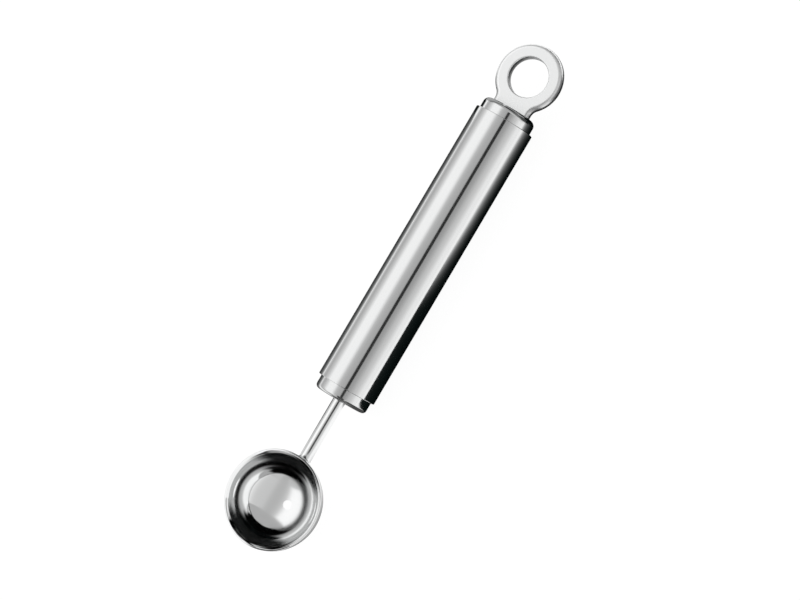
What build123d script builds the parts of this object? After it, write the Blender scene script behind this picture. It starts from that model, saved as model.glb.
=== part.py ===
import os

from build123d import *

# Melon baller of welded stainless steel, sizes in millimetres.
# It lies along X with the hanging ring at +X, and the bowl opens towards +Z.
# The origin is on the surface it lies on, under the middle of its length and width.

# Handle tube
tube_diameter = 19.0
tube_length = 93.0
tube_wall = 0.9
tube_edge_radius = 0.2

# Drawn caps, one in each end of the tube
cap_clearance = 0.05
cap_sheet = 0.8
cap_standout = 4.0
front_corner_radius = 1.3
rear_corner_radius = 1.8
cap_skirt_depth = 6.0
cap_lip_chamfer = 0.25

# Hanging ring: the eye, its neck, and the tang behind the rear cap's end wall
ring_diameter = 21.2
ring_hole_diameter = 12.4
ring_thickness = 3.2
ring_edge_radius = 1.0
ring_hole_edge_radius = 0.5
ring_reach = 10.9
neck_width = 12.8
neck_fillet = 3.0
tang_depth = 5.0
tang_corner_radius = 1.5
slot_clearance = 0.05

# Shank: the exposed length runs from the front cap's face to the bowl's near rim
shank_diameter = 4.0
shank_exposed = 20.1
shank_tail = 12.0
shank_tail_chamfer = 0.5
shank_hole_clearance = 0.05
weld_fillet = 1.0
weld_gap = 0.05

# Bowl: half of a slightly flattened ball, whose ground rim stands above the handle's axis
bowl_diameter = 30.7
bowl_depth = 14.2
bowl_wall = 1.1
bowl_rim_height = 6.3
rim_outer_radius = 0.25
rim_bevel = 0.7
vent_diameter = 2.8
vent_edge_radius = 0.2

# How far a cutting body runs past the wall that it cuts
cut_overrun = 1.0

# Radii and stations that follow from the sizes above
tube_radius = tube_diameter / 2
bore_radius = tube_radius - tube_wall
cap_radius = bore_radius - cap_clearance
ring_radius = ring_diameter / 2
bowl_radius = bowl_diameter / 2
handle_length = tube_length + 2 * cap_standout
overall_length = bowl_diameter + shank_exposed + handle_length + ring_reach + ring_radius
bowl_x = bowl_radius - overall_length / 2
front_face_x = bowl_x + bowl_radius + shank_exposed
front_end_x = front_face_x + cap_standout
rear_end_x = front_end_x + tube_length
rear_face_x = rear_end_x + cap_standout
ring_x = rear_face_x + ring_reach

# The tube or the bowl touches the surface, whichever hangs lower
axis_height = max(tube_radius, bowl_depth - bowl_rim_height)

bowl_place = Pos(bowl_x, 0, bowl_rim_height)
along_x = Rotation(0, 90, 0)


def handle_tube():
    """Return the grip tube, with its outer end edges broken."""
    wall = Circle(tube_radius) - Circle(bore_radius)
    tube = extrude(wall, amount=tube_length)
    rims = tube.edges().group_by(Axis.Z)
    outer_edges = [rims[end].sort_by(SortBy.RADIUS)[-1] for end in (0, -1)]
    tube = fillet(outer_edges, tube_edge_radius)
    return Pos(front_end_x, 0, 0) * along_x * tube


def drawn_cup(corner_radius):
    """Return a cup with its closed face at X = 0 and its skirt running towards +X."""
    depth = cap_standout + cap_skirt_depth
    slug = extrude(Circle(cap_radius), amount=depth)
    slug = fillet(slug.faces().sort_by(Axis.Z)[0].edges(), corner_radius)
    cup = offset(slug, amount=-cap_sheet, openings=slug.faces().sort_by(Axis.Z)[-1])
    lip = cup.faces().sort_by(Axis.Z)[-1].edges()
    return along_x * chamfer(lip, cap_lip_chamfer)


def front_cap():
    """Return the cap at the bowl end, with a round hole for the shank."""
    hole = Cylinder(shank_diameter / 2 + shank_hole_clearance, 2 * (cap_sheet + cut_overrun))
    return Pos(front_face_x, 0, 0) * (drawn_cup(front_corner_radius) - along_x * hole)


def rear_cap():
    """Return the cap at the ring end, with a slot shaped like the tang's section."""
    slot = RectangleRounded(
        neck_width + 2 * slot_clearance,
        ring_thickness + 2 * slot_clearance,
        ring_edge_radius + slot_clearance,
    )
    cutter = extrude(Plane.YZ * slot, amount=cap_sheet + cut_overrun, both=True)
    return Pos(rear_face_x, 0, 0) * Rotation(0, 0, 180) * (drawn_cup(rear_corner_radius) - cutter)


def hanging_ring():
    """Return the flat eye with its neck and tang, all edges of both faces rounded."""
    tang_x = rear_face_x - cap_sheet - tang_depth
    bar_length = ring_x - tang_x
    eye = Pos(ring_x, 0) * Circle(ring_radius)
    bar = Pos(tang_x + bar_length / 2, 0) * Rectangle(bar_length, neck_width)
    outline = eye + bar
    outline = fillet(outline.vertices().group_by(Axis.X)[1], neck_fillet)
    outline = fillet(outline.vertices().group_by(Axis.X)[0], tang_corner_radius)
    plate = extrude(outline, amount=ring_thickness / 2, both=True)
    levels = plate.edges().group_by(Axis.Z)
    plate = fillet(levels[0] + levels[-1], ring_edge_radius)
    hole = Pos(ring_x, 0) * Cylinder(ring_hole_diameter / 2, ring_thickness + 2 * cut_overrun)
    pierced = plate - hole
    return pierced.fillet(ring_hole_edge_radius, new_edges(plate, hole, combined=pierced))


def ball(growth):
    """Return the bowl's outer form as a solid about its own centre, larger by growth."""
    height = bowl_depth + growth
    section = Ellipse(bowl_radius + growth, height)
    half = Rectangle(bowl_radius + growth, 2 * height, align=(Align.MIN, Align.CENTER))
    return revolve(Plane.XZ * (section & half), axis=Axis.Z)


def shank():
    """Return the wire with its weld foot, coped to sit on the outside of the bowl."""
    tail_x = front_face_x + shank_tail
    wire = extrude(Circle(shank_diameter / 2), amount=tail_x - bowl_x)
    wire = Pos(bowl_x, 0, 0) * along_x * wire
    wire = chamfer(wire.edges().group_by(Axis.X)[-1], shank_tail_chamfer)
    form = bowl_place * Rotation(0, 0, 90) * ball(0)
    joined = wire + form
    joined = joined.fillet(weld_fillet, new_edges(wire, form, combined=joined))
    return joined - bowl_place * ball(weld_gap)


def scoop_bowl():
    """Return the pressed cup, its rim ground to a bevel inside, and a vent at the bottom."""
    vent_radius = vent_diameter / 2
    wall = Ellipse(bowl_radius, bowl_depth) - Ellipse(bowl_radius - bowl_wall, bowl_depth - bowl_wall)
    quarter = Pos(vent_radius, 0) * Rectangle(
        bowl_radius - vent_radius, bowl_depth, align=(Align.MIN, Align.MAX)
    )
    section = wall & quarter
    section = fillet(section.vertices().sort_by(Axis.X)[-1], rim_outer_radius)
    section -= Pos(bowl_radius - bowl_wall, 0) * RegularPolygon(rim_bevel, 4)
    section = fillet(section.vertices().group_by(Axis.X)[0], vent_edge_radius)
    return bowl_place * revolve(Plane.XZ * section, axis=Axis.Z)


pieces = {
    "handle_tube": handle_tube(),
    "front_cap": front_cap(),
    "rear_cap": rear_cap(),
    "hanging_ring": hanging_ring(),
    "shank": shank(),
    "scoop_bowl": scoop_bowl(),
}

os.makedirs("parts", exist_ok=True)
for name, piece in pieces.items():
    export_step(Pos(0, 0, axis_height) * piece, f"parts/{name}.step")
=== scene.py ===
"""Dresses, lights and frames the welded steel melon baller."""

import logging
import math
from collections import Counter
from dataclasses import dataclass
from enum import Enum
from functools import reduce
from typing import Optional

import bpy
from mathutils import Matrix, Vector


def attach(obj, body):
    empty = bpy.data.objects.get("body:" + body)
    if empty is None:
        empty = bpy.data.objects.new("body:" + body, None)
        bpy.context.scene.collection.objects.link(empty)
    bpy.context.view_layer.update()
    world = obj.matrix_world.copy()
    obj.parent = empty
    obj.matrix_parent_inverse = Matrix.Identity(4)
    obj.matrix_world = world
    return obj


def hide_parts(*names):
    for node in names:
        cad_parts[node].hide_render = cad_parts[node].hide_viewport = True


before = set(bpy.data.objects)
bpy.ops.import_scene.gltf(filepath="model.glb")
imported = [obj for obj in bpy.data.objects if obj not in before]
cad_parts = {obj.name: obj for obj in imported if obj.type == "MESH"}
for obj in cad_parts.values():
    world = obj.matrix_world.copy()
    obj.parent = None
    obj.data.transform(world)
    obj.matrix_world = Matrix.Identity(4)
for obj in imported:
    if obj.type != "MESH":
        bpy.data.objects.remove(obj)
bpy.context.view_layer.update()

logging.basicConfig(level=logging.INFO, format="%(message)s")
log = logging.getLogger("melon_baller")

MM = 0.001
MERGE = 0.0005 * MM
AXIS_HEIGHT = 9.5 * MM
BOWL_MIDDLE = -71.3 * MM
ALONG_X = Vector((1, 0, 0))
UPWARD = Vector((0, 0, 1))
WHITE = (1.0, 1.0, 1.0, 1.0)
Shape = bpy.types.Object
Socket = bpy.types.NodeSocket
Span = tuple[float, float]


# The bench: hand work in edit mode

def arc(centre: Vector, radii: Span, start: float, end: float, steps: int) -> list[Vector]:
    """Gives the points of a round or flattened arc in the upright plane along X.

    Args:
        centre: middle of the arc, in metres.
        radii: half-widths along X and along Z, in metres.
        start: first angle in degrees from +X towards +Z.
        end: last angle in degrees.
        steps: number of equal steps between the two.

    Returns:
        The points from start to end, both included.
    """
    turns = [math.radians(start + (end - start) * step / steps) for step in range(steps + 1)]
    return [centre + Vector((radii[0] * math.cos(a), 0, radii[1] * math.sin(a))) for a in turns]


def pick(piece: Shape) -> None:
    """Makes a piece the active one and the only selected one.

    Args:
        piece: the piece.
    """
    bpy.ops.object.select_all(action="DESELECT")
    piece.select_set(True)
    bpy.context.view_layer.objects.active = piece


def begin_edit(piece: Shape, mode: str = "VERT") -> None:
    """Opens one piece in edit mode with nothing selected.

    Args:
        piece: the piece.
        mode: what gets selected in it: VERT, EDGE or FACE.
    """
    pick(piece)
    bpy.ops.object.mode_set(mode="EDIT")
    bpy.ops.mesh.select_mode(type=mode)
    bpy.ops.mesh.select_all(action="DESELECT")


def end_edit(piece: Shape) -> None:
    """Leaves edit mode and puts the piece's place into its mesh.

    Args:
        piece: the piece.
    """
    bpy.ops.object.mode_set(mode="OBJECT")
    pick(piece)
    bpy.ops.object.transform_apply(location=True, rotation=True, scale=True)


def drawn_line(name: str, points: list[Vector]) -> Shape:
    """Draws a chain of edges: a small square is merged to a point, which is extruded from station to station.

    Args:
        name: the new piece's name.
        points: the stations, in metres.

    Returns:
        The piece, left in edit mode with its last point selected.
    """
    bpy.ops.mesh.primitive_plane_add(size=MM, location=points[0])
    piece = bpy.context.object
    piece.name = name
    piece.data.name = name
    begin_edit(piece)
    bpy.ops.mesh.select_all(action="SELECT")
    bpy.ops.mesh.merge(type="CENTER")
    for here, there in zip(points, points[1:]):
        bpy.ops.mesh.extrude_region_move(TRANSFORM_OT_translate={"value": there - here})
    return piece


def close_up() -> None:
    """Merges what meets, and turns every face outwards."""
    bpy.ops.mesh.select_all(action="SELECT")
    bpy.ops.mesh.remove_doubles(threshold=MERGE)
    bpy.ops.mesh.normals_make_consistent(inside=False)


def turned(name: str, section: list[Vector], centre: Vector, axis: Vector, steps: int) -> Shape:
    """Spins a section round an axis, as on a lathe.

    Args:
        name: the new piece's name.
        section: the stations of the section; a closed one ends where it starts.
        centre: a point of the axis.
        axis: the direction of the axis.
        steps: faces round the axis.

    Returns:
        The closed shape, with its place in its mesh.
    """
    piece = drawn_line(name, section)
    bpy.ops.mesh.select_all(action="SELECT")
    bpy.ops.mesh.spin(steps=steps, angle=math.tau, center=centre, axis=axis)
    close_up()
    end_edit(piece)
    return piece


def fitted(piece: Shape, kind: str, **settings: object) -> None:
    """Adds one modifier to a piece, sets it and applies it.

    Args:
        piece: the piece.
        kind: the modifier's type.
        settings: the modifier's values by name.
    """
    pick(piece)
    bpy.ops.object.modifier_add(type=kind)
    modifier = piece.modifiers[-1]
    for key, value in settings.items():
        setattr(modifier, key, value)
    bpy.ops.object.modifier_apply(modifier=modifier.name)


def machined(piece: Shape, cutter: Shape, work: str = "DIFFERENCE") -> None:
    """Cuts a piece with another, or welds the other to it, and puts the other away."""
    fitted(piece, "BOOLEAN", operation=work, solver="EXACT", object=cutter)
    bpy.data.objects.remove(cutter, do_unlink=True)


def deburred(piece: Shape, size: float) -> None:
    """Takes out the slivers that a cut leaves, and the corners where only two edges meet.

    Args:
        piece: the piece.
        size: how narrow a sliver is, in metres.
    """
    begin_edit(piece)
    bpy.ops.mesh.select_all(action="SELECT")
    bpy.ops.mesh.remove_doubles(threshold=size)
    bpy.ops.mesh.dissolve_degenerate(threshold=size)
    bpy.ops.mesh.select_all(action="DESELECT")
    bpy.ops.object.mode_set(mode="OBJECT")
    meeting = Counter(corner for edge in piece.data.edges for corner in edge.vertices)
    for corner in piece.data.vertices:
        corner.select = meeting[corner.index] == 2
    bpy.ops.object.mode_set(mode="EDIT")
    bpy.ops.mesh.dissolve_verts()
    close_up()
    end_edit(piece)


def smoothed(piece: Shape, angle: float) -> None:
    """Shades a piece smooth up to an angle, and keeps its flat faces flat.

    Args:
        piece: the piece.
        angle: the sharpest edge that is still shaded smooth, in degrees.
    """
    pick(piece)
    bpy.ops.object.shade_smooth_by_angle(angle=math.radians(angle))
    fitted(piece, "WEIGHTED_NORMAL", keep_sharp=True, weight=80)


# Finishes

class Lay(Enum):
    """The way that the marks of grinding run, as the pattern's scale per metre on X, Y and Z."""

    ROUND_THE_BAR = (5200.0, 90.0, 90.0)
    ALONG_THE_BAR = (70.0, 3800.0, 3800.0)
    TUMBLED = (1500.0, 1500.0, 1500.0)


class Wiring:
    """Short hand for the nodes of one tree."""

    def __init__(self, tree: bpy.types.NodeTree) -> None:
        """Clears the tree and keeps it."""
        self.tree = tree
        tree.nodes.clear()

    def node(self, kind: str, settings: Optional[dict] = None, **inputs: object) -> bpy.types.Node:
        """Adds a node.

        Args:
            kind: the node's type without its ShaderNode prefix.
            settings: values of the node itself.
            inputs: values or sockets by input name, with _ for a space; in0, in1 and in2 go by number.

        Returns:
            The new node.
        """
        made = self.tree.nodes.new("ShaderNode" + kind)
        for key, value in (settings or {}).items():
            setattr(made, key, value)
        for key, value in inputs.items():
            numbered = key[:2] == "in" and key[2:].isdigit()
            socket = made.inputs[int(key[2:])] if numbered else made.inputs[key.replace("_", " ")]
            if isinstance(value, Socket):
                self.tree.links.new(value, socket)
            else:
                socket.default_value = value
        return made

    def maths(self, work: str, first: object, second: object = 0.0) -> Socket:
        """Adds a Math node and gives its result."""
        return self.node("Math", {"operation": work}, in0=first, in1=second).outputs[0]

    def product(self, first: object, *others: object) -> Socket:
        """Multiplies two values or more."""
        return reduce(lambda so_far, other: self.maths("MULTIPLY", so_far, other), others, first)

    def ease(self, value: object, low: float, high: float) -> Socket:
        """Gives 0 below low, 1 above high and a soft step between; low may be the greater."""
        made = self.node("MapRange", {"interpolation_type": "SMOOTHSTEP"}, in0=value, in1=low, in2=high)
        return made.outputs[0]

    def waver(self, middle: object, noise: Socket, amount: float) -> Socket:
        """Lets a value waver about its middle with a noise from 0 to 1."""
        return self.maths("ADD", middle, self.product(self.maths("SUBTRACT", noise, 0.5), amount))

    def vector(self, work: str, first: Socket, second: object) -> Socket:
        """Adds a Vector Math node for two vectors and gives the vector that results."""
        return self.node("VectorMath", {"operation": work}, in0=first, in1=second).outputs[0]


@dataclass(frozen=True)
class Stainless:
    """A finish of stainless steel.

    The grain is a fine noise stretched along the grinding marks. It tips the surface a little and
    changes its roughness, and a broad, faint cloud stands for handling. A satin spot may lie inside an
    upright cylinder.
    """

    name: str
    tone: tuple[float, float, float]
    roughness: float
    lay: Lay
    grain: float
    cloud: float = 0.03
    cloud_scale: float = 95.0
    grain_roughness: float = 0.35
    grain_height: float = 0.004 * MM
    least_roughness: float = 0.02
    satin_roughness: float = 0.0
    satin_middle: tuple[float, float, float] = (0.0, 0.0, 0.0)
    satin_radius: float = 0.0
    satin_edge: float = 0.0

    def material(self) -> bpy.types.Material:
        """Makes the finish as a node material on Object coordinates.

        Returns:
            The material.
        """
        made = bpy.data.materials.new(self.name)
        made.use_nodes = True
        wire = Wiring(made.node_tree)
        place = wire.node("TexCoord").outputs["Object"]
        lay = wire.node("Mapping", {"vector_type": "POINT"}, Vector=place, Scale=self.lay.value).outputs[0]
        marks = wire.node("TexNoise", Vector=lay, Scale=1.0, Detail=5.0, Roughness=0.62).outputs[0]
        cloud = wire.node("TexNoise", Vector=place, Scale=self.cloud_scale, Detail=3.0, Roughness=0.5)
        broad = cloud.outputs[0]
        rough = wire.waver(self.roughness, marks, self.grain * self.grain_roughness)
        rough = wire.waver(rough, broad, self.cloud)
        if self.satin_radius:
            rough = self._with_satin(wire, place, rough)
        rough = wire.maths("MAXIMUM", rough, self.least_roughness)
        shade = wire.waver(1.0, broad, self.cloud)
        tone = wire.node("VectorMath", {"operation": "SCALE"}, in0=self.tone, Scale=shade).outputs[0]
        tipped = wire.node("Bump", Strength=self.grain, Distance=self.grain_height, Height=marks).outputs[0]
        steel = wire.node("BsdfPrincipled", Base_Color=tone, Metallic=1.0, Roughness=rough, Normal=tipped)
        wire.node("OutputMaterial", Surface=steel.outputs[0])
        return made

    def _with_satin(self, wire: Wiring, place: Socket, rough: Socket) -> Socket:
        """Blends the roughness into the satin spot's, inside an upright cylinder.

        Args:
            wire: the material's wiring.
            place: the Object coordinates.
            rough: the roughness outside the spot.

        Returns:
            The roughness everywhere.
        """
        flat = wire.vector("MULTIPLY", wire.vector("SUBTRACT", place, self.satin_middle), (1.0, 1.0, 0.0))
        away = wire.node("VectorMath", {"operation": "LENGTH"}, in0=flat).outputs["Value"]
        inside = wire.ease(away, self.satin_radius + self.satin_edge, self.satin_radius - self.satin_edge)
        gap = wire.maths("SUBTRACT", self.satin_roughness, rough)
        return wire.maths("ADD", rough, wire.product(gap, inside))


GROUND_TUBE = Stainless("ground_tube_steel", (0.82, 0.825, 0.825), 0.10, Lay.ROUND_THE_BAR, 0.25)
DRAWN_CAP = Stainless("drawn_cap_steel", (0.82, 0.825, 0.825), 0.12, Lay.ROUND_THE_BAR, 0.18)
SATIN_RING = Stainless("satin_ring_steel", (0.95, 0.955, 0.955), 0.31, Lay.TUMBLED, 0.22)
DRAWN_WIRE = Stainless("drawn_wire_steel", (0.92, 0.925, 0.925), 0.12, Lay.ALONG_THE_BAR, 0.10)
PRESSED_BOWL = Stainless(
    "pressed_bowl_steel", (0.92, 0.925, 0.925), 0.05, Lay.TUMBLED, 0.03, cloud=0.015,
    satin_roughness=0.17, satin_middle=(BOWL_MIDDLE, 0.0, 0.0), satin_radius=8.2 * MM, satin_edge=0.5 * MM,
)


# Pieces

def hand_over(piece: Shape, finish: Stainless, node: str) -> None:
    """Gives a piece its finish, and puts it in the place of its solid.

    Args:
        piece: the finished shape.
        finish: its steel.
        node: the name of its solid.
    """
    piece.data.materials.clear()
    piece.data.materials.append(finish.material())
    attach(piece, "root")
    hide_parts(node)
    log.info("%s: %d faces, in %s", piece.name, len(piece.data.polygons), finish.name)


@dataclass
class Handle:
    """The grip tube and the drawn cap in each of its ends, in metres.

    A cap's skirt has one more station, cap_middle, on the length that stands out of the tube.
    """

    front: float = -31.85 * MM
    rear: float = 61.15 * MM
    radius: float = 9.5 * MM
    wall: float = 0.9 * MM
    broken_edge: float = 0.2 * MM
    cap_radius: float = 8.55 * MM
    cap_sheet: float = 0.8 * MM
    cap_standout: float = 4.0 * MM
    cap_middle: float = 2.6 * MM
    cap_depth: float = 10.0 * MM
    front_corner: float = 1.3 * MM
    rear_corner: float = 1.8 * MM
    lip: float = 0.25 * MM
    wire_hole: float = 2.05 * MM
    slot_width: float = 12.9 * MM
    slot_height: float = 3.3 * MM
    slot_corner: float = 1.05 * MM
    slot_cutter: float = 4.0 * MM
    steps: int = 224
    length_steps: int = 12
    edge_steps: int = 5
    corner_steps: int = 12
    inner_corner_steps: int = 6
    slot_corner_steps: int = 6
    smooth_angle: float = 40.0

    def tube(self) -> Shape:
        """Turns the tube from its wall's section.

        Returns:
            The finished shape.
        """
        top, edge = AXIS_HEIGHT + self.radius, self.broken_edge
        start, span = self.front + edge, self.rear - self.front - 2 * edge
        section = [Vector((self.front, 0, top - self.wall))]
        section += arc(Vector((start, 0, top - edge)), (edge, edge), 180, 90, self.edge_steps)
        section += [
            Vector((start + span * step / self.length_steps, 0, top)) for step in range(1, self.length_steps)
        ]
        section += arc(Vector((self.rear - edge, 0, top - edge)), (edge, edge), 90, 0, self.edge_steps)
        section += [Vector((self.rear, 0, top - self.wall)), section[0].copy()]
        piece = turned("grip_tube", section, Vector((0, 0, AXIS_HEIGHT)), ALONG_X, self.steps)
        smoothed(piece, self.smooth_angle)
        return piece

    def cup(self, name: str, face: float, inward: float, corner: float, hole: float) -> Shape:
        """Turns a drawn cup.

        Args:
            name: the cup's name.
            face: where its closed face is on X.
            inward: 1 where its skirt runs towards +X, and -1 towards -X.
            corner: outer radius between its face and its skirt.
            hole: radius of the hole in its face, or 0.

        Returns:
            The cup, not yet smoothed.
        """
        sheet, lip, skirt, end = self.cap_sheet, self.lip, self.cap_radius, self.cap_depth
        stations = [(0.0, hole), (0.0, skirt - corner)]
        stations += self._round_corner(corner, corner, self.corner_steps)
        stations += [(self.cap_middle, skirt), (self.cap_standout, skirt), (end - lip, skirt)]
        stations += [(end, skirt - lip), (end, skirt - sheet + lip), (end - lip, skirt - sheet)]
        stations += reversed(self._round_corner(corner, corner - sheet, self.inner_corner_steps))
        stations += [(sheet, skirt - corner), (sheet, hole)]
        if hole:
            stations.append(stations[0])
        section = [Vector((face + inward * depth, 0, AXIS_HEIGHT + away)) for depth, away in stations]
        return turned(name, section, Vector((0, 0, AXIS_HEIGHT)), ALONG_X, self.steps)

    def _round_corner(self, corner: float, radius: float, steps: int) -> list[Span]:
        """Gives the stations round a cup's corner, without the first.

        Args:
            corner: the corner's outer radius, which sets where its middle is.
            radius: distance of the stations from that middle.
            steps: number of stations.

        Returns:
            Pairs of the depth in the cup and the distance from its axis.
        """
        turns = [math.pi / 2 * step / steps for step in range(1, steps + 1)]
        middle = self.cap_radius - corner
        return [(corner - radius * math.cos(a), middle + radius * math.sin(a)) for a in turns]

    def front_cap(self) -> Shape:
        """Turns the cap at the bowl end, with the wire's hole.

        Returns:
            The finished shape.
        """
        face = self.front - self.cap_standout
        piece = self.cup("front_cap_cup", face, 1, self.front_corner, self.wire_hole)
        smoothed(piece, self.smooth_angle)
        return piece

    def rear_cap(self) -> Shape:
        """Turns the cap at the ring end and cuts the tang's slot.

        Returns:
            The finished shape.
        """
        face = self.rear + self.cap_standout
        piece = self.cup("rear_cap_cup", face, -1, self.rear_corner, 0.0)
        bpy.ops.mesh.primitive_cube_add(size=1, location=(face, 0, AXIS_HEIGHT))
        cutter = bpy.context.object
        cutter.scale = (self.slot_cutter, self.slot_width, self.slot_height)
        bpy.ops.object.transform_apply(location=True, rotation=True, scale=True)
        begin_edit(cutter, "EDGE")
        bpy.ops.object.mode_set(mode="OBJECT")
        for edge in cutter.data.edges:
            first, second = (cutter.data.vertices[i].co for i in edge.vertices)
            edge.select = abs(first.x - second.x) > MM
        bpy.ops.object.mode_set(mode="EDIT")
        bpy.ops.mesh.bevel(offset=self.slot_corner, segments=self.slot_corner_steps)
        end_edit(cutter)
        machined(piece, cutter)
        smoothed(piece, self.smooth_angle)
        return piece

    def build(self) -> None:
        """Makes and dresses the three pieces."""
        hand_over(self.tube(), GROUND_TUBE, "handle_tube")
        hand_over(self.front_cap(), DRAWN_CAP, "front_cap")
        hand_over(self.rear_cap(), DRAWN_CAP, "rear_cap")


@dataclass
class HangingRing:
    """The flat eye with its neck and tang, in metres.

    The cutter for the hole flares beyond the plate, and its curves start a skin's breadth outside, so
    that none of its corners lies in a face of the plate.
    """

    middle: float = 76.05 * MM
    radius: float = 10.6 * MM
    hole: float = 6.2 * MM
    thickness: float = 3.2 * MM
    edge: float = 1.45 * MM
    hole_edge: float = 0.5 * MM
    neck: float = 6.4 * MM
    neck_middle: float = 66.0 * MM
    neck_fillet: float = 3.0 * MM
    tang_end: float = 59.35 * MM
    tang_corner: float = 1.5 * MM
    skin: float = 0.002 * MM
    flare: float = 0.02 * MM
    flare_start: float = 0.01 * MM
    sliver: float = 0.001 * MM
    least_facing: float = 0.9
    eye_steps: int = 96
    fillet_steps: int = 16
    tang_corner_steps: int = 8
    edge_steps: int = 7
    hole_steps: int = 192
    hole_edge_steps: int = 6
    smooth_angle: float = 35.0

    @staticmethod
    def _sweep(middle: Span, radius: float, start: float, end: float, steps: int) -> list[Vector]:
        """Gives the points of an arc in the flat plane.

        Args:
            middle: its middle on X and Y.
            radius: its radius.
            start: first angle in radians from +X towards +Y.
            end: last angle in radians.
            steps: number of equal steps between the two.

        Returns:
            The points from start to end, both included.
        """
        turns = [start + (end - start) * step / steps for step in range(steps + 1)]
        places = [(middle[0] + radius * math.cos(a), middle[1] + radius * math.sin(a)) for a in turns]
        return [Vector((along, aside, 0)) for along, aside in places]

    def outline(self) -> list[Vector]:
        """Gives the outline of the eye, its filleted neck and its tang, one way round.

        Returns:
            The points, the first one not repeated.
        """
        reach = self.radius + self.neck_fillet
        side = self.neck + self.neck_fillet
        lean = math.asin(side / reach)
        waist = (self.middle - reach * math.cos(lean), side)
        corner = (self.tang_end + self.tang_corner, self.neck - self.tang_corner)
        quarter = math.pi / 2
        half = self._sweep((self.middle, 0), self.radius, 0, math.pi - lean, self.eye_steps)
        half += self._sweep(waist, self.neck_fillet, -lean, -quarter, self.fillet_steps)[1:]
        half.append(Vector((self.neck_middle, self.neck, 0)))
        half += self._sweep(corner, self.tang_corner, quarter, math.pi, self.tang_corner_steps)
        return half + [Vector((point.x, -point.y, 0)) for point in reversed(half[1:])]

    def build(self) -> None:
        """Draws the outline, thickens it, rounds both faces' edges by insets, and bores the eye."""
        lift = Vector((0, 0, AXIS_HEIGHT - self.thickness / 2 + self.edge))
        piece = drawn_line("hanging_eye", [point + lift for point in self.outline()])
        bpy.ops.mesh.select_all(action="SELECT")
        bpy.ops.mesh.remove_doubles(threshold=MERGE)
        bpy.ops.mesh.edge_face_add()
        straight = self.thickness - 2 * self.edge
        bpy.ops.mesh.extrude_region_move(TRANSFORM_OT_translate={"value": (0, 0, straight)})
        close_up()
        end_edit(piece)
        for side in (1, -1):
            self._round_face(piece, side)
        machined(piece, self._bore())
        deburred(piece, self.sliver)
        smoothed(piece, self.smooth_angle)
        hand_over(piece, SATIN_RING, "hanging_ring")

    def _round_face(self, piece: Shape, side: int) -> None:
        """Rounds the edge of one flat face by insets that follow a quarter circle.

        Args:
            piece: the plate.
            side: 1 for the upper face and -1 for the lower one.
        """
        begin_edit(piece, "FACE")
        bpy.ops.object.mode_set(mode="OBJECT")
        for face in piece.data.polygons:
            face.select = face.normal.z * side > self.least_facing
        bpy.ops.object.mode_set(mode="EDIT")
        turns = [math.pi / 2 * step / self.edge_steps for step in range(self.edge_steps + 1)]
        for here, there in zip(turns, turns[1:]):
            bpy.ops.mesh.inset(
                thickness=self.edge * (math.cos(here) - math.cos(there)),
                depth=self.edge * (math.sin(there) - math.sin(here)),
                use_boundary=True,
                use_even_offset=True,
            )
        close_up()
        end_edit(piece)

    def _bore(self) -> Shape:
        """Turns the cutter for the hole.

        Returns:
            The cutter, wider where the hole's edges are rounded.
        """
        low = AXIS_HEIGHT - self.thickness / 2 - self.skin
        high = AXIS_HEIGHT + self.thickness / 2 + self.skin
        edge, rim = self.hole_edge, self.hole + self.hole_edge
        wide = rim + self.flare
        turns = [math.pi / 2 * step / self.hole_edge_steps for step in range(self.hole_edge_steps + 1)]
        stations = [(0.0, low - MM), (wide, low - MM), (wide, low - self.flare_start)]
        stations += [(rim - edge * math.sin(a), low + edge - edge * math.cos(a)) for a in turns]
        stations += [(rim - edge * math.sin(a), high - edge + edge * math.cos(a)) for a in reversed(turns)]
        stations += [(wide, high + self.flare_start), (wide, high + MM), (0.0, high + MM)]
        section = [Vector((self.middle + away, 0, height)) for away, height in stations]
        return turned("eye_cutter", section, Vector((self.middle, 0, 0)), UPWARD, self.hole_steps)


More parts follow.
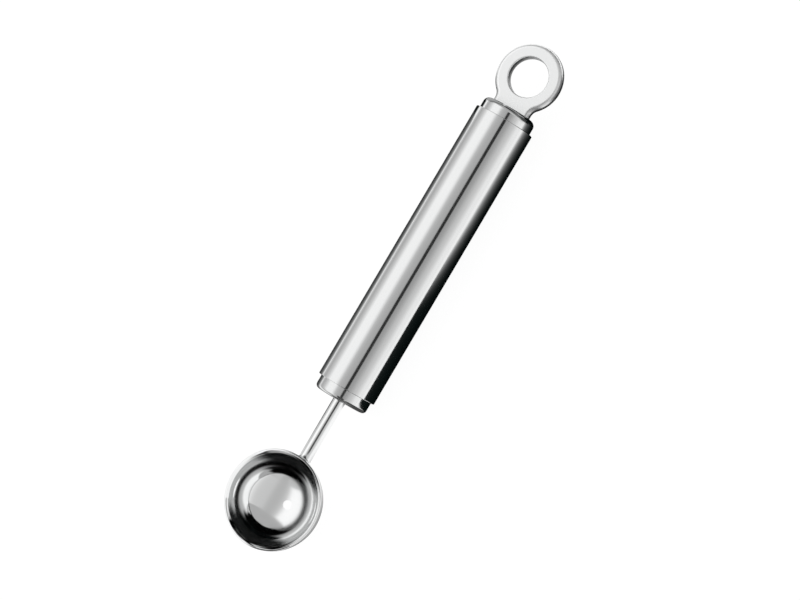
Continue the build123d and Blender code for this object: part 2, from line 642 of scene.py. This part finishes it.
@dataclass
class Scoop:
    """The wire shank and the pressed bowl on its end. Lengths are in metres and angles in degrees.

    The outside ends at the angle rim_start, where the rim's rounding goes on. The bead is a ring whose
    own middle circle is the wire's radius times bead_reach.
    """

    bowl_x: float = BOWL_MIDDLE
    rim_z: float = 15.8 * MM
    radius: float = 15.347 * MM
    depth: float = 14.2 * MM
    wall: float = 1.1 * MM
    rim_outer: float = 0.25 * MM
    rim_start: float = -1.6
    bevel_run: float = 0.6 * MM
    bevel_drop: float = 0.8 * MM
    bevel_crown: float = 4.0
    vent: float = 1.4 * MM
    wire_root: float = 8.0 * MM
    wire_radius: float = 2.0 * MM
    tail: float = -23.85 * MM
    tail_chamfer: float = 0.5 * MM
    bead_radius: float = 0.62 * MM
    bead_reach: float = 1.06
    bead_shift: float = 0.15 * MM
    bead_waver: float = 0.06 * MM
    weld_gap: float = 0.05 * MM
    sliver: float = 0.01 * MM
    steps: int = 256
    outside_steps: int = 72
    inside_steps: int = 90
    rim_steps: int = 6
    bevel_steps: int = 6
    form_steps: int = 160
    form_height_steps: int = 96
    wire_steps: int = 96
    wire_length_steps: int = 20
    bead_steps: tuple[int, int] = (72, 20)
    bowl_smooth_angle: float = 30.0
    wire_smooth_angle: float = 40.0

    def bowl(self) -> Shape:
        """Turns the bowl from its wall's section, out along the outside and back along the inside.

        Returns:
            The finished shape.
        """
        centre = Vector((self.bowl_x, 0, self.rim_z))
        inside = (self.radius - self.wall, self.depth - self.wall)
        first = -math.degrees(math.acos(self.vent / self.radius))
        last = -math.degrees(math.acos(self.vent / inside[0]))
        below_bevel = -math.degrees(math.asin(self.bevel_drop / inside[1]))
        rim = centre + Vector((self.radius - self.rim_outer, 0, -self.rim_outer))
        section = arc(centre, (self.radius, self.depth), first, self.rim_start, self.outside_steps)
        section += arc(rim, (self.rim_outer, self.rim_outer), 0, 90, self.rim_steps)
        section += self._bevel(centre + Vector((inside[0] + self.bevel_run, 0, 0)))
        section += arc(centre, inside, below_bevel, last, self.inside_steps)
        section.append(section[0].copy())
        piece = turned("pressed_bowl", section, centre, UPWARD, self.steps)
        smoothed(piece, self.bowl_smooth_angle)
        return piece

    def _bevel(self, lip: Vector) -> list[Vector]:
        """Gives the stations of the ground bevel, a little crowned.

        Args:
            lip: its top edge.

        Returns:
            The stations from there inwards, without the last.
        """
        length = math.hypot(self.bevel_run, self.bevel_drop)
        slope = math.degrees(math.atan2(self.bevel_drop, self.bevel_run))
        points = [lip]
        for step in range(self.bevel_steps - 1):
            a = math.radians(slope + self.bevel_crown * (2 * (step + 0.5) / self.bevel_steps - 1))
            points.append(points[-1] + Vector((-math.cos(a), 0, -math.sin(a))) * length / self.bevel_steps)
        return points

    def form(self, growth: float) -> Shape:
        """Turns the bowl's outer form as a solid.

        Args:
            growth: how much larger than the bowl it is.

        Returns:
            The solid.
        """
        centre = Vector((self.bowl_x, 0, self.rim_z))
        radii = (self.radius + growth, self.depth + growth)
        section = arc(centre, radii, -90, 90, self.form_height_steps)
        return turned("weld_form", section, centre, UPWARD, self.form_steps)

    def shank(self) -> Shape:
        """Turns the wire, lays the weld bead round its foot, and copes both to the bowl.

        Returns:
            The finished shape.
        """
        start, count = self.bowl_x + self.wire_root, self.wire_length_steps
        length = self.tail - self.tail_chamfer - start
        stations = [(start, 0.0)]
        stations += [(start + length * step / count, self.wire_radius) for step in range(count + 1)]
        stations += [(self.tail, self.wire_radius - self.tail_chamfer), (self.tail, 0.0)]
        section = [Vector((along, 0, AXIS_HEIGHT + away)) for along, away in stations]
        piece = turned("shank_wire", section, Vector((0, 0, AXIS_HEIGHT)), ALONG_X, self.wire_steps)
        machined(piece, self._bead(), "UNION")
        machined(piece, self.form(self.weld_gap))
        deburred(piece, self.sliver)
        smoothed(piece, self.wire_smooth_angle)
        return piece

    def _bead(self) -> Shape:
        """Lays the weld bead where the wire meets the bowl, square to the bowl's wall and not quite even.

        Returns:
            The bead.
        """
        drop = AXIS_HEIGHT - self.rim_z
        run = self.radius * math.sqrt(1 - (drop / self.depth) ** 2)
        slope = Vector((run / self.radius ** 2, 0, drop / self.depth ** 2)).normalized()
        bpy.ops.mesh.primitive_torus_add(
            major_segments=self.bead_steps[0],
            minor_segments=self.bead_steps[1],
            major_radius=self.wire_radius * self.bead_reach,
            minor_radius=self.bead_radius,
            location=Vector((self.bowl_x + run, 0, AXIS_HEIGHT)) + slope * self.bead_shift,
            rotation=(0, math.pi / 2 - math.asin(slope.z), 0),
        )
        bead = bpy.context.object
        begin_edit(bead)
        bpy.ops.mesh.select_all(action="SELECT")
        bpy.ops.transform.vertex_random(offset=self.bead_waver, uniform=0.3, normal=0.7, seed=4)
        bpy.ops.mesh.vertices_smooth(factor=0.5, repeat=1)
        end_edit(bead)
        return bead

    def build(self) -> None:
        """Makes and dresses the two pieces."""
        hand_over(self.bowl(), PRESSED_BOWL, "scoop_bowl")
        hand_over(self.shank(), DRAWN_WIRE, "shank")


# Studio

@dataclass(frozen=True)
class Strip:
    """A dark strip of the sky that only what the steel mirrors again shows.

    A pair is where it starts to show and where it is full, in degrees of swing or tilt, or in times that
    the ray was mirrored. What is mirrored twice shows a narrow strip and, towards the bowl end, a wide one
    as well. Both reach further over as the tilt grows, by two bends. What is mirrored more often shows
    another part of the sky darkened.
    """

    narrow: tuple[Span, Span] = ((-49, -42), (-4, -22))
    wide: tuple[Span, Span] = ((-84, -72), (-4, -17))
    wide_tilt: Span = (-2, -8)
    bends: tuple[Span, Span] = ((12, 30), (38, 50))
    bend: float = 14.0
    twice: tuple[Span, Span] = ((1.2, 1.8), (2.8, 2.2))
    more: Span = (2.2, 2.8)
    more_swing: Span = (8, 36)
    more_strength: float = 0.8

    def darkness(self, wire: Wiring, depth: Socket, swing: Socket, tilt: Socket) -> Socket:
        """Gives how dark the strip makes a direction.

        Args:
            wire: the world's wiring.
            depth: how many times the ray was mirrored.
            swing: the direction's swing.
            tilt: the direction's tilt.

        Returns:
            1 where it is black and 0 where the strip isn't seen.
        """
        far = wire.maths("ABSOLUTE", tilt)
        bent = wire.maths("ADD", wire.ease(far, *self.bends[0]), wire.ease(far, *self.bends[1]))
        moved = wire.maths("SUBTRACT", swing, wire.product(bent, self.bend))
        narrow = wire.product(wire.ease(swing, *self.narrow[0]), wire.ease(moved, *self.narrow[1]))
        wide = wire.product(wire.ease(swing, *self.wide[0]), wire.ease(moved, *self.wide[1]))
        wide = wire.product(wide, wire.ease(tilt, *self.wide_tilt))
        again = wire.product(wire.ease(depth, *self.twice[0]), wire.ease(depth, *self.twice[1]))
        twice = wire.product(wire.maths("MAXIMUM", narrow, wide), again)
        more = wire.product(wire.ease(swing, *self.more_swing), wire.ease(depth, *self.more))
        more = wire.product(more, self.more_strength)
        return wire.maths("MAXIMUM", twice, more)


@dataclass
class Sky:
    """The soft light all round, as bands along the handle. Angles are in degrees.

    Each band is a pair: the swing from overhead towards +Y, and the light there. Tilt is the lean of a
    direction towards +X. Each end holds the light from above down to a level, between two tilts where the
    hold starts and is full. Beyond the tilts of the dark ends there is no light. The camera sees white.
    """

    bands: tuple[Span, ...] = (
        (-180, 0.9), (-98, 0.97), (-77, 0.95), (-72, 0.86), (-64, 0.72), (-57, 0.635), (-48, 0.60),
        (-35, 0.59), (-27, 0.58), (-21, 0.50), (-14, 0.475), (-3, 0.475), (4, 0.52), (11, 0.60),
        (18, 0.87), (23, 1.02), (28, 1.05), (52, 1.05), (67, 0.68), (84, 0.46), (97, 0.64), (180, 0.9),
    )
    full: float = 1.6
    ring_end: tuple[float, Span] = (0.43, (27, 35))
    bowl_end: tuple[float, Span] = (0.55, (-36, -45))
    above: tuple[Span, Span] = ((-88, -80), (80, 70))
    dark_ends: Span = (63, 71)

    def build(self) -> None:
        """Wires the world."""
        world = bpy.data.worlds.new("soft_sky")
        bpy.context.scene.world = world
        world.use_nodes = True
        wire = Wiring(world.node_tree)
        toward = wire.node("SeparateXYZ", Vector=wire.node("TexCoord").outputs["Generated"]).outputs
        turn = wire.maths("ARCTAN2", toward["Y"], toward["Z"])
        swing = wire.product(turn, 180 / math.pi)
        tilt = wire.product(wire.maths("ARCSINE", toward["X"]), 180 / math.pi)
        light = self._bands(wire, turn)
        above = wire.product(wire.ease(swing, *self.above[0]), wire.ease(swing, *self.above[1]))
        for level, tilts in (self.ring_end, self.bowl_end):
            held = wire.product(wire.ease(tilt, *tilts), above)
            most = wire.maths("SUBTRACT", self.full, wire.product(held, self.full - level))
            light = wire.maths("MINIMUM", light, most)
        first, last = self.dark_ends
        dark = wire.maths("MAXIMUM", wire.ease(tilt, first, last), wire.ease(tilt, -first, -last))
        path = wire.node("LightPath").outputs
        dark = wire.maths("MAXIMUM", dark, Strip().darkness(wire, path["Glossy Depth"], swing, tilt))
        light = wire.product(light, wire.maths("SUBTRACT", 1.0, dark))
        seen = path["Is Camera Ray"]
        light = wire.maths("ADD", wire.product(light, wire.maths("SUBTRACT", 1.0, seen)), seen)
        glow = wire.node("Background", Color=WHITE, Strength=light)
        wire.node("OutputWorld", Surface=glow.outputs[0])
        log.info("sky: %d bands", len(self.bands))

    def _bands(self, wire: Wiring, turn: Socket) -> Socket:
        """Wires the bands.

        Args:
            wire: the world's wiring.
            turn: the swing in radians.

        Returns:
            The light of the bands there.
        """
        share = wire.maths("ADD", wire.maths("DIVIDE", turn, math.tau), 0.5)
        ramp = wire.node("ValToRGB", Fac=share)
        ramp.color_ramp.interpolation = "LINEAR"
        stops = ramp.color_ramp.elements
        for number, (degrees, level) in enumerate(self.bands):
            position = degrees / 360 + 0.5
            stop = stops[number] if number < 2 else stops.new(position)
            stop.position = position
            stop.color = (level / self.full,) * 3 + (1.0,)
        return wire.product(ramp.outputs[0], self.full)


@dataclass
class Flag:
    """A black card that only reflections see. Its edges fade over a share of its length and width.

    Where depth is set, only what the steel has mirrored that many times or more sees it. Where reach is
    set, it is clear to what sees it from further off. Where hub is set, only what lies between the two
    rims' distances from it is black, and rim_fade is the distance over which a rim fades.
    """

    name: str
    middle: Vector
    along: Vector
    across: Vector
    fade_start: float = 0.02
    fade_end: float = 0.02
    fade_low: float = 0.02
    fade_high: float = 0.02
    strength: float = 1.0
    depth: int = 0
    reach: float = 0.0
    hub: Optional[Vector] = None
    rims: Span = (0.0, 0.0)
    rim_fade: float = 0.1 * MM
    black: tuple[float, float, float, float] = (0.006, 0.010, 0.010, 1.0)

    def build(self) -> None:
        """Cuts the card, places it and blackens it."""
        bpy.ops.mesh.primitive_plane_add(size=1)
        card = bpy.context.object
        card.name = self.name
        face = self.along.cross(self.across).normalized()
        turn = Matrix((self.along, self.across, face)).transposed().to_4x4()
        card.matrix_world = Matrix.Translation(self.middle) @ turn
        bpy.ops.object.transform_apply(location=True, rotation=True, scale=True)
        card.data.materials.append(self._material())
        card.visible_camera = False
        card.visible_diffuse = False
        card.visible_shadow = False
        card.visible_transmission = False
        log.info("flag %s", self.name)

    def _material(self) -> bpy.types.Material:
        """Makes the card's black, which lets the light through where it fades.

        Returns:
            The material.
        """
        made = bpy.data.materials.new(self.name + "_black")
        made.use_nodes = True
        wire = Wiring(made.node_tree)
        places = wire.node("TexCoord").outputs
        spot = wire.node("SeparateXYZ", Vector=places["UV"]).outputs
        path = wire.node("LightPath").outputs
        ends = (("X", self.fade_start, self.fade_end), ("Y", self.fade_low, self.fade_high))
        lengthwise, widthwise = (
            wire.product(wire.ease(spot[side], 0, first), wire.ease(spot[side], 1, 1 - last))
            for side, first, last in ends
        )
        cover = wire.product(lengthwise, widthwise, self.strength)
        if self.depth:
            cover = wire.product(cover, wire.ease(path["Glossy Depth"], self.depth - 0.8, self.depth - 0.2))
        if self.reach:
            cover = wire.product(cover, wire.ease(path["Ray Length"], self.reach, 0.95 * self.reach))
        if self.hub is not None:
            distance = wire.node("VectorMath", {"operation": "DISTANCE"}, in0=places["Object"], in1=self.hub)
            away, (inner, outer) = distance.outputs["Value"], self.rims
            cover = wire.product(cover, wire.ease(away, inner, inner + self.rim_fade))
            cover = wire.product(cover, wire.ease(away, outer, outer - self.rim_fade))
        black = wire.node("BsdfDiffuse", Color=self.black)
        clear = wire.node("BsdfTransparent")
        both = wire.node("MixShader", in0=cover, in1=clear.outputs[0], in2=black.outputs[0])
        wire.node("OutputMaterial", Surface=both.outputs[0])
        return made


@dataclass
class Floor:
    """The pale sheet that the tool lies on, in metres."""

    half_width: float = 3.0
    daylight: float = 0.16
    own: float = 0.93

    def build(self) -> None:
        """Lays the floor, which glows for the eye and for mirrors and keeps the tool's shadow."""
        bpy.ops.mesh.primitive_plane_add(size=2 * self.half_width, location=(0, 0, 0))
        sheet = bpy.context.object
        sheet.name = "pale_floor"
        made = bpy.data.materials.new("pale_floor")
        made.use_nodes = True
        wire = Wiring(made.node_tree)
        path = wire.node("LightPath").outputs
        seen = wire.maths("MAXIMUM", path["Is Camera Ray"], path["Is Glossy Ray"])
        seen = wire.maths("MAXIMUM", seen, path["Is Transmission Ray"])
        paper = wire.node("BsdfDiffuse", Color=(self.daylight,) * 3 + (1.0,))
        glow = wire.node("Emission", Color=WHITE, Strength=wire.product(seen, self.own))
        both = wire.node("AddShader", in0=paper.outputs[0], in1=glow.outputs[0])
        wire.node("OutputMaterial", Surface=both.outputs[0])
        sheet.data.materials.append(made)
        log.info("floor laid")


@dataclass
class Studio:
    """Sky, floor, black cards and camera. Angles are in degrees and distances in metres."""

    lean: float = 21.0
    roll: float = 30.564
    distance: float = 0.850
    frame_width: float = 0.2395
    sensor: float = 36.0
    aim_along: float = -0.82 * MM
    aim_aside: float = 0.305 * MM
    washer_height: float = 18 * MM
    washer_rims: Span = (6.8 * MM, 13.0 * MM)
    bowl_cards_near: float = -16 * MM
    bowl_cards_height: float = 18 * MM
    bowl_cards_step: float = 0.1 * MM
    rim_cards_height: float = 16.0 * MM
    rim_cards_rims: Span = (14.85 * MM, 15.8 * MM)

    def camera(self) -> None:
        """Stands the camera where the photograph was taken from."""
        lean, roll = math.radians(self.lean), math.radians(self.roll)
        back = Vector((0, -math.sin(lean), math.cos(lean)))
        side = Vector((0, -math.cos(lean), -math.sin(lean)))
        right = side * math.cos(roll) + ALONG_X * math.sin(roll)
        target = Vector((self.aim_along, 0, AXIS_HEIGHT)) + side * self.aim_aside
        lens = bpy.data.cameras.new("studio_camera")
        lens.sensor_width = self.sensor
        lens.lens = self.sensor * self.distance / self.frame_width
        lens.clip_start = 0.01
        camera = bpy.data.objects.new("studio_camera", lens)
        bpy.context.scene.collection.objects.link(camera)
        turn = Matrix((right, back.cross(right), back)).transposed().to_4x4()
        camera.matrix_world = Matrix.Translation(target + back * self.distance) @ turn
        bpy.context.scene.camera = camera
        log.info("camera at %s", tuple(round(v, 4) for v in camera.matrix_world.translation))

    def level(self, name: str, along: Span, across: Span, height: float, **looks: object) -> None:
        """Lays a level black card.

        Args:
            name: its name.
            along: its start and its end on X.
            across: its low side and its high side on Y.
            height: its height over the floor.
            looks: the other values of the card.
        """
        (start, end), (near, far) = along, across
        middle = Vector(((start + end) / 2, (near + far) / 2, height))
        Flag(name, middle, ALONG_X * (end - start), Vector((0, far - near, 0)), **looks).build()

    def washer(self, name: str, face: float, across: Span, **looks: object) -> None:
        """Stands a black washer close before a cap's face.

        Args:
            name: its name.
            face: where it stands on X.
            across: its start and its end on Y.
            looks: the other values of the card.
        """
        near, far = across
        hub = Vector((face, 0, AXIS_HEIGHT))
        middle = Vector((face, (near + far) / 2, AXIS_HEIGHT))
        length, width = Vector((0, far - near, 0)), UPWARD * self.washer_height
        Flag(name, middle, length, width, hub=hub, rims=self.washer_rims, **looks).build()

    def overhead(
        self, name: str, along: Span, surface: float, swing: float, size: Span, **looks: object
    ) -> None:
        """Hangs a black card along the tool, away from the line on the bar that faces the camera.

        Args:
            name: its name.
            along: its start and its end on X.
            surface: radius of the bar under it.
            swing: the way from that line to the card, from overhead towards +Y.
            size: how far away it hangs, and its width.
            looks: the other values of the card.
        """
        (start, end), (height, width) = along, size
        lean, turn = math.radians(-self.lean), math.radians(swing)
        foot = Vector(((start + end) / 2, surface * math.sin(lean), AXIS_HEIGHT + surface * math.cos(lean)))
        middle = foot + Vector((0, math.sin(turn), math.cos(turn))) * height
        across = Vector((0, math.cos(turn), -math.sin(turn))) * width
        Flag(name, middle, ALONG_X * (end - start), across, **looks).build()

    def over_bowl(self, name: str, along: Span, far: float, depth: int, **looks: object) -> None:
        """Hangs a black card just over one end of the bowl, for what its wall mirrors again and again.

        Args:
            name: its name.
            along: its two ends on X from the bowl's middle, the nearer one first.
            far: its last end on Y.
            depth: how many times, at the least, a ray has been mirrored before it sees the card.
            looks: the other values of the card.
        """
        ends = (BOWL_MIDDLE + along[0], BOWL_MIDDLE + along[1])
        height = self.bowl_cards_height + self.bowl_cards_step * depth
        self.level(name, ends, (self.bowl_cards_near, far), height, depth=depth, **looks)

    def over_rim(self, name: str, along: Span, across: Span) -> None:
        """Lays a narrow black arc over a part of the bowl's rim.

        Args:
            name: its name.
            along: where it starts and ends on X.
            across: where it starts and ends on Y.
        """
        hub = Vector((BOWL_MIDDLE, 0, self.rim_cards_height))
        self.level(
            name, along, across, self.rim_cards_height,
            fade_low=0.2, fade_high=0.3, strength=0.9, hub=hub, rims=self.rim_cards_rims,
        )

    def floor_cards(self) -> None:
        """Lays the cards that lie on the floor, one a little above the other, and stands the ring's own."""
        base, middle, top = 0.1 * MM, 0.2 * MM, 0.3 * MM
        self.level(
            "near_card", (-0.0371, 0.033), (-0.083, 0.010), top,
            fade_high=0.1, fade_end=0.5, strength=0.985,
        )
        self.level(
            "near_card_soft", (-0.0385, 0.095), (-0.096, 0.010), base,
            fade_low=0.8, fade_high=0.1, fade_end=0.14,
        )
        self.level(
            "ring_card", (0.070, 0.097), (-0.045, 0.006), middle,
            fade_low=0.3, fade_high=0.1, fade_start=0.2, strength=0.95,
        )
        self.level(
            "far_card", (-0.066, 0.063), (0.140, 0.0), base,
            fade_low=0.85, fade_start=0.2, strength=0.95,
        )
        self.level(
            "far_cap_card", (0.060, 0.0715), (0.060, 0.011), middle,
            fade_low=0.4, fade_high=0.1, fade_start=0.1, fade_end=0.25,
        )
        self.level("far_floor_card", (-0.3, 0.3), (2.9, 0.141), base, strength=0.42)
        under_bowl = 0.4 * MM
        self.level(
            "bowl_card", (-0.104, -0.050), (-0.045, 0.045), under_bowl,
            fade_low=0.45, fade_high=0.45, fade_start=0.35, fade_end=0.35, strength=0.8,
            hub=Vector((BOWL_MIDDLE, 0, under_bowl)), rims=(2.5 * MM, 80 * MM), rim_fade=9 * MM,
        )
        Flag(
            "ring_side_card", Vector((0.08275, -0.028, 0.014)), ALONG_X * 0.0365, UPWARD * 0.028,
            fade_start=0.12, fade_end=0.1, fade_high=0.45, strength=0.85,
        ).build()

    def handle_cards(self) -> None:
        """Stands the washers before the caps and hangs the cards over the grip and the wire."""
        side, grip, grip_radius, wire_radius = 13 * MM, (-0.0410, 0.0710), 9.5 * MM, 2.0 * MM
        self.washer("front_washer", -0.0360, (-side, 1 * MM), strength=0.93, fade_end=0.64)
        self.washer("rear_washer_near", 0.0653, (-side, 0), strength=0.6, fade_end=0.1)
        self.washer("rear_washer_far", 0.0653, (0, side), strength=0.6)
        self.overhead(
            "grip_card", grip, grip_radius, -20.48, (25 * MM, 7.2 * MM),
            fade_low=0.2, fade_high=0.2, strength=0.93, reach=34 * MM,
        )
        self.overhead(
            "grip_card_soft", grip, grip_radius, -32.0, (25.4 * MM, 28 * MM),
            fade_low=0.5, fade_high=0.5, strength=0.36, reach=36 * MM,
        )
        self.overhead(
            "wire_card", (-0.0558, -0.0365), wire_radius, -19.6, (18 * MM, 11.0 * MM),
            fade_low=0.15, fade_high=0.15, strength=0.86, reach=23 * MM,
        )

    def bowl_cards(self) -> None:
        """Hangs the cards over the bowl and over its rim."""
        late = {"far": 16 * MM, "depth": 3, "fade_start": 0.35}
        self.over_bowl("late_card_front", (7.0 * MM, 17.0 * MM), **late)
        self.over_bowl("late_card_back", (-7.0 * MM, -17.0 * MM), **late)
        self.over_bowl(
            "second_card_front", (7.5 * MM, 17.2 * MM), 12 * MM, 2,
            fade_start=0.25, fade_high=0.11,
        )
        self.over_rim("rim_card_front", (-0.064, -0.055), (-0.013, 0.006))
        self.over_rim("rim_card_back", (-0.0875, -0.080), (-0.014, 0.001))

    def build(self) -> None:
        """Sets up the light and the camera."""
        bpy.context.scene.view_settings.view_transform = "Standard"
        Sky().build()
        Floor().build()
        self.floor_cards()
        self.handle_cards()
        self.bowl_cards()
        self.camera()


def main() -> None:
    """Makes the pieces, then the studio."""
    Handle().build()
    HangingRing().build()
    Scoop().build()
    Studio().build()


if __name__ == "__main__":
    main()
